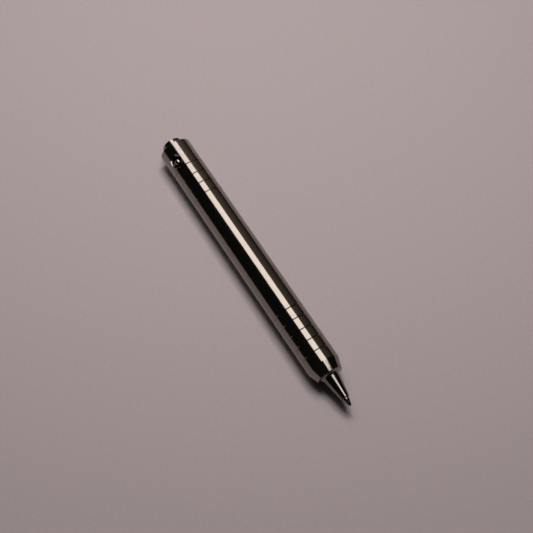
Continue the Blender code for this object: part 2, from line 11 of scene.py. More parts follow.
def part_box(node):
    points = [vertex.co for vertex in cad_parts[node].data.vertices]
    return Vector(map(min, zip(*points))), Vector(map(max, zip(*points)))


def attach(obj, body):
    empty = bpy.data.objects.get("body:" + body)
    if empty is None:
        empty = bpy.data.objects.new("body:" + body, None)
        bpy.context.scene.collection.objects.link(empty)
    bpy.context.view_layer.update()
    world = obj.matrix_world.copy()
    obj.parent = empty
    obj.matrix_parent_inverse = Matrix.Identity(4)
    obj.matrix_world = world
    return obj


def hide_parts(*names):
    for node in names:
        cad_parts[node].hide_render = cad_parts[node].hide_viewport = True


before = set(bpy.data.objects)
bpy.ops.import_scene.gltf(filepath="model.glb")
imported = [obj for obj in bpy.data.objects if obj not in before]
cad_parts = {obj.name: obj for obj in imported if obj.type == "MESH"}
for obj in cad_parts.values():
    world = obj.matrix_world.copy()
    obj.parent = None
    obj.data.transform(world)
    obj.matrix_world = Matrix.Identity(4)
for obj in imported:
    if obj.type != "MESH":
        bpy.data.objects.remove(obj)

LOG = logging.getLogger("retractable_pen")
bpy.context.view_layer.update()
MM = 0.001
IMAGE_SIDE = 533.0

Outline = list[tuple[float, float]]
Triple = tuple[float, float, float]
Span = tuple[float, float]
Tree = bpy.types.NodeTree
Node = bpy.types.Node
Socket = bpy.types.NodeSocket

# The largest share of a straight run that one rounding may take.
ROUND_SHARE = 0.45
# A point nearer to the axis than this, in millimetres, lies on it.
ON_AXIS = 1e-6
# Roundings of fine outer edges and of hollow corners, in millimetres.
EDGE_ROUND = 0.03
ROOT_ROUND = 0.02


class Loop(Enum):
    """How a turned outline ends."""

    RING = "closed ring"
    SOLID = "both ends on the axis"


class Way(Enum):
    """A direction along the pen, as a sign."""

    NOSE = 1.0
    TAIL = -1.0


class Ease(Enum):
    """How a ramp goes from its start to its end."""

    STRAIGHT = "LINEAR"
    SOFT = "SMOOTHSTEP"


@dataclass(frozen=True)
class Corner:
    """One corner of a turned outline, in millimetres.

    Args:
        station: distance along the axis.
        radius: distance from the axis.
        round: radius of the rounding at this corner.
    """

    station: float
    radius: float
    round: float = 0.0


@dataclass(frozen=True)
class Axis:
    """Where the pen's axis lies in the row frame, in metres.

    Args:
        tail: X of the pen's tail.
        height: Z of the axis.
        radius: the barrel's radius.
    """

    tail: float
    height: float
    radius: float

    @classmethod
    def from_frame(cls) -> "Axis":
        """Return the axis, read from the barrel's and the knob's boxes."""
        low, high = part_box("barrel")
        return cls(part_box("tail_knob")[0].x, (low.z + high.z) / 2.0, (high.z - low.z) / 2.0)

    def matrix(self) -> Matrix:
        """Return the move from stations along X to the row frame."""
        return Matrix.Translation((self.tail, 0.0, self.height))

    def across(self, station: float, angle: float) -> Matrix:
        """Find the move that lays X straight out from the axis.

        Args:
            station: place along the pen in millimetres.
            angle: turn from the top toward -Y in radians.

        Returns:
            A matrix for a piece that is turned about its own X axis.
        """
        out = Vector((0.0, -math.sin(angle), math.cos(angle)))
        turn = out.to_track_quat("X", "Z").to_matrix().to_4x4()
        return self.matrix() @ Matrix.Translation((station * MM, 0.0, 0.0)) @ turn


def rounded(corners: list[Corner], loop: Loop, steps: int = 4, support: float = 0.03) -> Outline:
    """Round the corners of an outline and hold its straight runs straight.

    Args:
        corners: the outline's corners in order.
        loop: whether the outline closes on itself.
        steps: points along each rounding, less one.
        support: distance in millimetres of the extra point beside each rounding.

    Returns:
        Points as (station, radius) in millimetres.
    """
    count = len(corners)
    points: Outline = []
    for index, corner in enumerate(corners):
        here = Vector((corner.station, corner.radius))
        inner = loop is Loop.RING or 0 < index < count - 1
        if not inner or corner.round <= 0.0:
            points.append((here.x, here.y))
            continue
        before = corners[(index - 1) % count]
        after = corners[(index + 1) % count]
        back = Vector((before.station, before.radius)) - here
        ahead = Vector((after.station, after.radius)) - here
        opening = back.angle(ahead)
        reach = corner.round / math.tan(opening / 2.0)
        reach = min(reach, ROUND_SHARE * back.length, ROUND_SHARE * ahead.length)
        size = reach * math.tan(opening / 2.0)
        back.normalize()
        ahead.normalize()
        middle = here + (back + ahead).normalized() * (size / math.sin(opening / 2.0))
        first = here + back * reach
        last = here + ahead * reach
        points.append(tuple(first + back * support))
        start = first - middle
        sweep = start.angle_signed(last - middle)
        for step in range(steps + 1):
            angle = -sweep * step / steps
            spoke = Matrix.Rotation(angle, 2) @ start
            points.append(tuple(middle + spoke))
        points.append(tuple(last + ahead * support))
    return points


def turned(name: str, outline: Outline, loop: Loop, place: Matrix, sides: int) -> bpy.types.Object:
    """Turn an outline about X into a closed mesh.

    Args:
        name: the piece's name.
        outline: points as (station, radius) in millimetres.
        loop: whether the outline closes on itself.
        place: move from the outline's axis to the row frame.
        sides: number of steps round the axis.

    Returns:
        The new object, with its place in its mesh.
    """
    shape = bmesh.new()
    rings: list[list[bmesh.types.BMVert]] = []
    for station, radius in outline:
        if radius < ON_AXIS:
            rings.append([shape.verts.new((station * MM, 0.0, 0.0))])
            continue
        ring = []
        for step in range(sides):
            angle = 2.0 * math.pi * step / sides
            aside = radius * MM * math.sin(angle)
            upward = radius * MM * math.cos(angle)
            ring.append(shape.verts.new((station * MM, aside, upward)))
        rings.append(ring)
    pairs = list(zip(rings, rings[1:]))
    if loop is Loop.RING:
        pairs.append((rings[-1], rings[0]))
    for first, second in pairs:
        for step in range(sides):
            following = (step + 1) % sides
            if len(first) == 1:
                shape.faces.new((first[0], second[step], second[following]))
            elif len(second) == 1:
                shape.faces.new((first[step], second[0], first[following]))
            else:
                shape.faces.new((first[step], second[step], second[following], first[following]))
    bmesh.ops.recalc_face_normals(shape, faces=shape.faces)
    bmesh.ops.transform(shape, matrix=place, verts=shape.verts)
    mesh = bpy.data.meshes.new(name)
    shape.to_mesh(mesh)
    shape.free()
    mesh.shade_smooth()
    piece = bpy.data.objects.new(name, mesh)
    bpy.context.scene.collection.objects.link(piece)
    return piece


def settle(piece: bpy.types.Object, sharp: float) -> None:
    """Apply a piece's modifiers and mark its sharp edges.

    Args:
        piece: the object to settle.
        sharp: the angle in degrees above which an edge stays sharp.
    """
    bpy.context.view_layer.update()
    graph = bpy.context.evaluated_depsgraph_get()
    mesh = bpy.data.meshes.new_from_object(piece.evaluated_get(graph))
    mesh.name = piece.name
    piece.modifiers.clear()
    piece.data = mesh
    mesh.shade_smooth()
    mesh.set_sharp_from_angle(angle=math.radians(sharp))


def seat(piece: bpy.types.Object, body: str, node: str, look: bpy.types.Material) -> None:
    """Put a piece on its body in place of its solid and dress it.

    Args:
        piece: the visible piece.
        body: the body that it moves with.
        node: the solid that it stands for.
        look: the material.
    """
    piece.data.materials.clear()
    piece.data.materials.append(look)
    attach(piece, body)
    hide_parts(node)
    LOG.info("%s rides on %s for %s, %d faces", piece.name, body, node, len(piece.data.polygons))


def give(tree: Tree, socket: Socket, value: Socket | float | Triple) -> None:
    """Feed an input with another node's result, a number or a colour.

    Args:
        tree: the node tree.
        socket: the input.
        value: what goes into it.
    """
    if isinstance(value, bpy.types.NodeSocket):
        tree.links.new(value, socket)
    elif isinstance(value, tuple):
        socket.default_value = (*value, 1.0)
    else:
        socket.default_value = value


def reckon(tree: Tree, kind: str, *values: Socket | float) -> Socket:
    """Add a Math node.

    Args:
        tree: the node tree.
        kind: the operation's name.
        values: sockets or numbers for its inputs.

    Returns:
        The result.
    """
    node = tree.nodes.new("ShaderNodeMath")
    node.operation = kind
    for socket, value in zip(node.inputs, values):
        give(tree, socket, value)
    return node.outputs[0]


def ramp(
    tree: Tree,
    value: Socket,
    start: Socket | float,
    end: Socket | float,
    low: float = 0.0,
    high: float = 1.0,
    ease: Ease = Ease.STRAIGHT,
) -> Socket:
    """Add a ramp that holds its level beyond both ends.

    Args:
        tree: the node tree.
        value: the number that runs along the ramp.
        start: where the ramp starts.
        end: where the ramp ends.
        low: the level at the start.
        high: the level at the end.
        ease: the way between them.

    Returns:
        The level.
    """
    node = tree.nodes.new("ShaderNodeMapRange")
    node.interpolation_type = ease.value
    give(tree, node.inputs["Value"], value)
    give(tree, node.inputs["From Min"], start)
    give(tree, node.inputs["From Max"], end)
    give(tree, node.inputs["To Min"], low)
    give(tree, node.inputs["To Max"], high)
    return node.outputs["Result"]


def tinted(tree: Tree, level: Socket, first: Socket | Triple, second: Socket | Triple) -> Socket:
    """Add a mix of two colours.

    Args:
        tree: the node tree.
        level: 0 for the first colour, 1 for the second.
        first: one colour.
        second: the other colour.

    Returns:
        The mixed colour.
    """
    node = tree.nodes.new("ShaderNodeMix")
    node.data_type = "RGBA"
    give(tree, node.inputs["Factor"], level)
    give(tree, node.inputs["A"], first)
    give(tree, node.inputs["B"], second)
    return node.outputs["Result"]


def parted(tree: Tree, kind: str) -> Node:
    """Add a node that parts a place into X, Y and Z.

    Args:
        tree: the node tree.
        kind: the name of the coordinates.

    Returns:
        The node.
    """
    place = tree.nodes.new("ShaderNodeTexCoord")
    split = tree.nodes.new("ShaderNodeSeparateXYZ")
    tree.links.new(place.outputs[kind], split.inputs[0])
    return split


class Groups:
    """Shader node groups that the finishes share."""

    # Turning marks: octaves of the lines, their shares in the shade and how far each octave fades.
    FINE_OCTAVES: float = 3.0
    BROAD_OCTAVES: float = 1.0
    FINE_SHARE: float = 0.6
    BROAD_SHARE: float = 0.4
    OCTAVE_FADE: float = 0.7
    # Handling film: octaves of the smears, and the size and weight of the specks.
    SMEAR_OCTAVES: float = 4.0
    SPECK_SIZE: float = 0.07
    SPECK_WEIGHT: float = 0.25

    def __init__(self, axis: Axis) -> None:
        """Build the groups once.

        Args:
            axis: the pen's axis, which the marks and the oil lie about.
        """
        self.axis = axis
        self.turning = self._turning_marks()
        self.handling = self._handling_film()
        self.recess = self._recess_shade()

    @staticmethod
    def _new(name: str, inputs: dict[str, float], outputs: list[str]) -> tuple[Tree, Node, Node]:
        """Make an empty group.

        Args:
            name: the group's name.
            inputs: number sockets with their default values.
            outputs: names of the number sockets put out.

        Returns:
            The group, its input node and its output node.
        """
        group = bpy.data.node_groups.new(name, "ShaderNodeTree")
        for label, value in inputs.items():
            socket = group.interface.new_socket(label, in_out="INPUT", socket_type="NodeSocketFloat")
            socket.default_value = value
        for label in outputs:
            group.interface.new_socket(label, in_out="OUTPUT", socket_type="NodeSocketFloat")
        given = group.nodes.new("NodeGroupInput")
        result = group.nodes.new("NodeGroupOutput")
        return group, given, result

    def _lines(self, group: Tree, where: Socket, scale: Socket, octaves: float) -> Socket:
        """Add fine lines that change along one number.

        Args:
            group: the node tree.
            where: the number that the lines run across.
            scale: lines to the metre.
            octaves: octaves of finer lines.

        Returns:
            The line strength.
        """
        noise = group.nodes.new("ShaderNodeTexNoise")
        noise.noise_dimensions = "1D"
        noise.inputs["Scale"].default_value = 1.0
        noise.inputs["Detail"].default_value = octaves
        noise.inputs["Roughness"].default_value = self.OCTAVE_FADE
        group.links.new(reckon(group, "MULTIPLY", where, scale), noise.inputs["W"])
        return noise.outputs["Fac"]

    def _radius(self, group: Tree, split: Node) -> Socket:
        """Add the distance from the pen's axis.

        Args:
            group: the node tree.
            split: the node that parts the place into X, Y and Z.

        Returns:
            The distance in metres.
        """
        lift = reckon(group, "SUBTRACT", split.outputs["Z"], self.axis.height)
        side = reckon(group, "POWER", split.outputs["Y"], 2.0)
        rise = reckon(group, "POWER", lift, 2.0)
        return reckon(group, "SQRT", reckon(group, "ADD", side, rise))

    def _turning_marks(self) -> Tree:
        """Make the rings left by the lathe.

        Returns:
            The group, which puts out a height and a shade.
        """
        sizes = {"Lines": 9000.0, "Bands": 260.0}
        group, given, result = self._new("turning_marks", sizes, ["Height", "Shade"])
        split = parted(group, "Object")
        along = reckon(group, "ADD", split.outputs["X"], self._radius(group, split))
        fine = self._lines(group, along, given.outputs["Lines"], self.FINE_OCTAVES)
        broad = self._lines(group, along, given.outputs["Bands"], self.BROAD_OCTAVES)
        group.links.new(fine, result.inputs["Height"])
        fine_part = reckon(group, "MULTIPLY", fine, self.FINE_SHARE)
        broad_part = reckon(group, "MULTIPLY", broad, self.BROAD_SHARE)
        group.links.new(reckon(group, "ADD", fine_part, broad_part), result.inputs["Shade"])
        return group

    def _recess_shade(self) -> Tree:
        """Make the mask that puts painted shade low in the pin's hole and leaves the metal unshaded
        elsewhere.

        Returns:
            The group, which puts out how open a place is.
        """
        sizes = {"Floor": 0.0050, "Unshaded": 0.0056, "Station": -0.05215, "Reach": 0.0024}
        group, given, result = self._new("recess_shade", sizes, ["Open"])
        split = parted(group, "Object")
        distance = self._radius(group, split)
        # Painted shade: full below the floor radius, gone beyond the outer radius, and only near the
        # pin's station.
        unshaded = ramp(group, distance, given.outputs["Floor"], given.outputs["Unshaded"])
        offset = reckon(group, "SUBTRACT", split.outputs["X"], given.outputs["Station"])
        away = reckon(group, "ABSOLUTE", offset)
        beyond = reckon(group, "GREATER_THAN", away, given.outputs["Reach"])
        group.links.new(reckon(group, "MAXIMUM", unshaded, beyond), result.inputs["Open"])
        return group

    def _handling_film(self) -> Tree:
        """Make faint smears and specks from handling.

        Returns:
            The group, which puts out a mask.
        """
        sizes = {"Smears": 90.0, "Specks": 1400.0}
        group, given, result = self._new("handling_film", sizes, ["Film"])
        place = group.nodes.new("ShaderNodeTexCoord")
        smear = group.nodes.new("ShaderNodeTexNoise")
        smear.inputs["Detail"].default_value = self.SMEAR_OCTAVES
        group.links.new(place.outputs["Object"], smear.inputs["Vector"])
        group.links.new(given.outputs["Smears"], smear.inputs["Scale"])
        speck = group.nodes.new("ShaderNodeTexVoronoi")
        group.links.new(place.outputs["Object"], speck.inputs["Vector"])
        group.links.new(given.outputs["Specks"], speck.inputs["Scale"])
        near = reckon(group, "LESS_THAN", speck.outputs["Distance"], self.SPECK_SIZE)
        soft = reckon(group, "MULTIPLY", near, self.SPECK_WEIGHT)
        group.links.new(reckon(group, "ADD", smear.outputs["Fac"], soft), result.inputs["Film"])
        return group


# The film's usual range, which is spread over a finish's roughness.
FILM_LOW = 0.3
FILM_HIGH = 0.8
# Height of the turning marks at full strength, in metres.
MARK_HEIGHT = 0.00002
# Colours of the barrel's steel and of the painted shade in the pin's hole, linear.
STEEL_DARK = (0.21, 0.195, 0.175)
STEEL_LIGHT = (0.31, 0.29, 0.26)
PAINTED_RECESS_SHADE = (0.02, 0.019, 0.017)


@dataclass(frozen=True)
class Finish:
    """One surface finish.

    Args:
        name: the material's name.
        dark: colour in the marks, linear.
        light: colour between the marks, linear.
        smooth: lowest roughness.
        rough: highest roughness.
        lines: turning lines to the metre.
        depth: bump strength of the lines.
        metallic: 1 for metal, 0 for anything else.
        painted_hole_shade: whether painted shade darkens the recess round the pin's hole.
    """

    name: str
    dark: Triple
    light: Triple
    smooth: float
    rough: float
    lines: float
    depth: float
    metallic: float = 1.0
    painted_hole_shade: bool = False

    def material(self, groups: Groups) -> bpy.types.Material:
        """Build the material.

        Args:
            groups: the shared node groups.

        Returns:
            The new material.
        """
        look = bpy.data.materials.new(self.name)
        look.use_nodes = True
        tree = look.node_tree
        shader = tree.nodes["Principled BSDF"]
        shader.inputs["Metallic"].default_value = self.metallic
        marks = self._placed(tree, groups.turning)
        marks.inputs["Lines"].default_value = self.lines
        film = self._placed(tree, groups.handling)
        shade = tinted(tree, marks.outputs["Shade"], self.dark, self.light)
        # Painted shade: the recess round the pin's hole is darkened nearly to black, in place of the
        # shade that falls there.
        if self.painted_hole_shade:
            hole = self._placed(tree, groups.recess)
            shade = tinted(tree, hole.outputs["Open"], PAINTED_RECESS_SHADE, shade)
        tree.links.new(shade, shader.inputs["Base Color"])
        worn = ramp(tree, film.outputs["Film"], FILM_LOW, FILM_HIGH, self.smooth, self.rough)
        tree.links.new(worn, shader.inputs["Roughness"])
        bump = tree.nodes.new("ShaderNodeBump")
        bump.inputs["Strength"].default_value = self.depth
        bump.inputs["Distance"].default_value = MARK_HEIGHT
        tree.links.new(marks.outputs["Height"], bump.inputs["Height"])
        tree.links.new(bump.outputs["Normal"], shader.inputs["Normal"])
        return look

    @staticmethod
    def _placed(tree: Tree, group: Tree) -> Node:
        """Put a shared group into the material.

        Args:
            tree: the material's node tree.
            group: the shared group.

        Returns:
            The group's node.
        """
        node = tree.nodes.new("ShaderNodeGroup")
        node.node_tree = group
        return node


class Steel(Enum):
    """The turned metals that show."""

    BARREL = Finish("barrel_metal", STEEL_DARK, STEEL_LIGHT, 0.07, 0.13, 9000.0, 0.08)
    # The knob's recess round its pin's hole carries painted shade.
    KNOB = Finish("knob_metal", STEEL_DARK, STEEL_LIGHT, 0.08, 0.14, 7500.0, 0.10, painted_hole_shade=True)
    NOSE = Finish("nose_metal", (0.17, 0.158, 0.142), (0.25, 0.234, 0.21), 0.07, 0.13, 10000.0, 0.08)
    PIN = Finish("pin_metal", (0.30, 0.29, 0.28), (0.40, 0.39, 0.38), 0.05, 0.10, 5000.0, 0.03)
    POINT = Finish("point_metal", (0.12, 0.115, 0.105), (0.19, 0.18, 0.165), 0.07, 0.12, 16000.0, 0.05)
    BALL = Finish("ball_metal", (0.18, 0.18, 0.185), (0.26, 0.26, 0.265), 0.06, 0.14, 4000.0, 0.02)


class Inner(Enum):
    """The finishes of the pieces inside."""

    SPRING = Finish("spring_wire", (0.40, 0.40, 0.40), (0.60, 0.60, 0.60), 0.22, 0.36, 6000.0, 0.10)
    CAM = Finish("cam_metal", (0.34, 0.34, 0.35), (0.50, 0.50, 0.51), 0.24, 0.38, 6000.0, 0.20)
    BRONZE = Finish("sleeve_bronze", (0.45, 0.30, 0.15), (0.60, 0.42, 0.23), 0.28, 0.42, 6000.0, 0.20)
    BRASS = Finish("tube_brass", (0.60, 0.46, 0.22), (0.76, 0.60, 0.32), 0.22, 0.36, 7000.0, 0.10)
    PLASTIC = Finish(
        "white_plastic", (0.68, 0.68, 0.66), (0.80, 0.80, 0.78), 0.38, 0.52, 1500.0, 0.05, metallic=0.0
    )
    RUBBER = Finish(
        "black_rubber", (0.012, 0.012, 0.012), (0.03, 0.03, 0.03), 0.60, 0.78, 2500.0, 0.10, metallic=0.0
    )
    INK = Finish(
        "black_ink", (0.006, 0.006, 0.012), (0.014, 0.014, 0.03), 0.22, 0.40, 700.0, 0.05, metallic=0.0
    )


INNER_LOOKS: dict[str, Inner] = {
    "nose_ring": Inner.RUBBER,
    "return_spring": Inner.SPRING,
    "guide_sleeve": Inner.BRONZE,
    "thrust_washer": Inner.PLASTIC,
    "lock_collar": Inner.BRONZE,
    "cam_tube": Inner.CAM,
    "friction_ring": Inner.RUBBER,
    "follower": Inner.CAM,
    "follower_pin": Inner.CAM,
    "refill_plug": Inner.PLASTIC,
    "refill_tube": Inner.BRASS,
    "ink_float": Inner.PLASTIC,
    "ink_column": Inner.INK,
    "refill_nose": Inner.PLASTIC,
}


@dataclass(frozen=True)
class Seam:
    """The lips that narrow the gap between the knob and the barrel, in millimetres.

    Args:
        lip: how far each lip stands into the gap.
        inner: inner radius of the lips.
        slope: length of each lip's bevel.
        drop: depth of each lip's bevel.
    """

    lip: float = 0.12
    inner: float = 5.6
    slope: float = 0.18
    drop: float = 0.14

    def corners(self, end: float, way: Way, radius: float) -> list[Corner]:
        """List the corners of one lip.

        Args:
            end: station of the face that the lip stands on.
            way: the direction in which the lip points.
            radius: radius of the outer wall.

        Returns:
            The corners from the outer wall inward.
        """
        edge = end + way.value * self.lip
        return [
            Corner(edge - way.value * self.slope, radius, EDGE_ROUND),
            Corner(edge, radius - self.drop, ROOT_ROUND),
            Corner(edge, self.inner, ROOT_ROUND),
            Corner(end, self.inner - self.lip),
        ]


SEAM = Seam()


@dataclass
class Barrel:
    """The grooved barrel. Sizes are in millimetres and stations count from the tail.

    Args:
        axis: the pen's axis.
        start: station of the end beside the knob.
        face: station of the flat front face.
        face_radius: radius of the front face.
        face_round: rounding of the front face's edge.
        taper_start: station where the front taper starts.
        taper_round: rounding where the taper starts.
        bore: radius of the wide bore behind.
        bore_end: station where the wide bore ends.
        bore_round: rounding of the bore's edge.
        refill_bore: radius of the bore round the refill.
        refill_bore_end: station where that bore ends.
        nose_bore: radius of the bore for the cone's shank.
        recess_radius: radius of the recess for the cone's flange.
        recess_depth: depth of that recess.
        groove_width: width of a groove.
        groove_depth: depth of a groove.
        groove_pitch: distance from groove to groove.
        tail_groove: station of the first groove near the tail.
        tail_count: number of grooves near the tail.
        grip_groove: station of the first groove in the grip.
        grip_count: number of grooves in the grip.
        sides: steps round the axis.
    """

    axis: Axis
    start: float = 14.05
    face: float = 111.92
    face_radius: float = 4.93
    face_round: float = 0.12
    taper_start: float = 107.76
    taper_round: float = 0.35
    bore: float = 4.8
    bore_end: float = 40.0
    bore_round: float = 0.05
    refill_bore: float = 3.2
    refill_bore_end: float = 103.9
    nose_bore: float = 2.8
    recess_radius: float = 4.62
    recess_depth: float = 0.5
    groove_width: float = 0.45
    groove_depth: float = 0.19
    groove_pitch: float = 4.65
    tail_groove: float = 18.97
    tail_count: int = 3
    grip_groove: float = 84.64
    grip_count: int = 5
    sides: int = 160

    def grooves(self) -> list[float]:
        """List the grooves' stations.

        Returns:
            The stations, tail first.
        """
        tail = [self.tail_groove + self.groove_pitch * n for n in range(self.tail_count)]
        grip = [self.grip_groove + self.groove_pitch * n for n in range(self.grip_count)]
        return tail + grip

    def corners(self) -> list[Corner]:
        """List the corners of the outline, with V-shaped grooves.

        Returns:
            The corners, front face first.
        """
        radius = self.axis.radius / MM
        recess_floor = self.face - self.recess_depth
        outline = [
            Corner(recess_floor, self.nose_bore),
            Corner(recess_floor, self.recess_radius),
            Corner(self.face, self.recess_radius, EDGE_ROUND),
            Corner(self.face, self.face_radius, self.face_round),
            Corner(self.taper_start, radius, self.taper_round),
        ]
        half = self.groove_width / 2.0
        for station in reversed(self.grooves()):
            outline += [
                Corner(station + half, radius, EDGE_ROUND),
                Corner(station, radius - self.groove_depth, ROOT_ROUND),
                Corner(station - half, radius, EDGE_ROUND),
            ]
        outline += SEAM.corners(self.start, Way.TAIL, radius)
        outline += [
            Corner(self.start, self.bore, self.bore_round),
            Corner(self.bore_end, self.bore),
            Corner(self.bore_end, self.refill_bore),
            Corner(self.refill_bore_end, self.refill_bore),
            Corner(self.refill_bore_end, self.nose_bore),
        ]
        return outline

    def build(self, groups: Groups) -> None:
        """Make the barrel and dress it.

        Args:
            groups: the shared node groups.
        """
        outline = rounded(self.corners(), Loop.RING)
        piece = turned("barrel_body", outline, Loop.RING, self.axis.matrix(), self.sides)
        seat(piece, "body", "barrel", Steel.BARREL.value.material(groups))


@dataclass
class TailKnob:
    """The twist knob with its cross pin. Sizes are in millimetres and stations count from the tail.

    Args:
        axis: the pen's axis.
        end: station of the end beside the barrel.
        outer_round: rounding of the tail's outer edges.
        boss_length: length of the stepped boss.
        boss_radius: radius of the boss.
        boss_root: rounding at the boss's root.
        bore: radius of the bore.
        bore_round: rounding of the bore's edge.
        floor: station of the bore's floor.
        pin_station: station of the cross pin.
        pin_angle: the pin's turn from the top toward -Y in radians.
        pin_radius: radius of the pin and of its ball ends.
        pin_recess: how far the ball ends lie below the outer wall.
        counterbore_radius: radius of the counterbore round a ball end.
        counterbore_depth: depth of the counterbore's floor.
        sink_depth: depth at which the countersink meets the counterbore.
        sink_lean: lean of the countersink in radians.
        fit: room between the pin and its hole.
        cutter_reach: reach of the hole's cutter, as a share of the knob's radius.
        long_run: shortest straight wall that is cut into slices.
        slice_length: length of those slices, which keep the wall smooth round the hole.
        sharp: the angle in degrees above which an edge stays sharp.
        ball_steps: steps along a ball end.
        pin_sides: steps round the pin and its hole.
        sides: steps round the axis.
    """

    axis: Axis
    end: float = 13.75
    outer_round: float = 0.15
    boss_length: float = 2.85
    boss_radius: float = 3.93
    boss_root: float = 0.05
    bore: float = 3.45
    bore_round: float = 0.05
    floor: float = 3.3
    pin_station: float = 10.3
    pin_angle: float = math.radians(36.4)
    pin_radius: float = 1.45
    pin_recess: float = 0.15
    counterbore_radius: float = 2.23
    counterbore_depth: float = 1.6
    sink_depth: float = 0.68
    sink_lean: float = math.radians(40.0)
    fit: float = 0.03
    cutter_reach: float = 1.3
    long_run: float = 5.0
    slice_length: float = 0.25
    sharp: float = 28.0
    ball_steps: int = 16
    pin_sides: int = 72
    sides: int = 192

    def corners(self) -> list[Corner]:
        """List the corners of the knob's outline.

        Returns:
            The corners, from the bore's floor round to the tail.
        """
        radius = self.axis.radius / MM
        return [
            Corner(self.floor, 0.0),
            Corner(self.floor, self.bore),
            Corner(self.end, self.bore, self.bore_round),
            *reversed(SEAM.corners(self.end, Way.NOSE, radius)),
            Corner(self.boss_length, radius, self.outer_round),
            Corner(self.boss_length, self.boss_radius, self.boss_root),
            Corner(0.0, self.boss_radius, self.outer_round),
            Corner(0.0, 0.0),
        ]

    def _shell(self) -> bpy.types.Object:
        """Turn the knob, with its long wall in slices.

        Returns:
            The knob before its hole is cut.
        """
        outline = rounded(self.corners(), Loop.SOLID)
        dense: Outline = []
        for first, second in zip(outline, outline[1:]):
            dense.append(first)
            along = first[0] - second[0]
            if along > self.long_run:
                count = int(along / self.slice_length)
                dense += [(first[0] - along * n / count, first[1]) for n in range(1, count)]
        dense.append(outline[-1])
        return turned("tail_knob_body", dense, Loop.SOLID, self.axis.matrix(), self.sides)

    def _cutter(self) -> bpy.types.Object:
        """Turn the shape of the cross hole.

        Returns:
            The hole, with a counterbore and a countersink at each end.
        """
        radius = self.axis.radius / MM
        past = radius * self.cutter_reach
        sink = radius - self.sink_depth
        floor = radius - self.counterbore_depth
        upper = [
            (past, 0.0),
            (past, self.counterbore_radius + (past - sink) / math.tan(self.sink_lean)),
            (sink, self.counterbore_radius),
            (floor, self.counterbore_radius),
            (floor, self.pin_radius + self.fit),
        ]
        outline = upper + [(-station, across) for station, across in reversed(upper)]
        place = self.axis.across(self.pin_station, self.pin_angle)
        return turned("cross_hole", outline, Loop.SOLID, place, self.pin_sides)

    def _pin(self) -> bpy.types.Object:
        """Turn the cross pin.

        Returns:
            The pin with its two ball ends.
        """
        centre = self.axis.radius / MM - self.pin_recess - self.pin_radius
        ball = []
        for step in range(self.ball_steps + 1):
            angle = math.pi / 2.0 * step / self.ball_steps
            ball.append((centre + self.pin_radius * math.cos(angle), self.pin_radius * math.sin(angle)))
        outline = ball + [(-station, radius) for station, radius in reversed(ball)]
        place = self.axis.across(self.pin_station, self.pin_angle)
        return turned("knob_cross_pin", outline, Loop.SOLID, place, self.pin_sides)

    def build(self, groups: Groups) -> None:
        """Make the knob and its pin and dress them.

        Args:
            groups: the shared node groups.
        """
        piece = self._shell()
        cutter = self._cutter()
        change = piece.modifiers.new("hole", "BOOLEAN")
        change.operation = "DIFFERENCE"
        change.solver = "EXACT"
        change.object = cutter
        settle(piece, self.sharp)
        bpy.data.objects.remove(cutter, do_unlink=True)
        seat(piece, "twist", "tail_knob", Steel.KNOB.value.material(groups))
        seat(self._pin(), "twist", "knob_pin", Steel.PIN.value.material(groups))


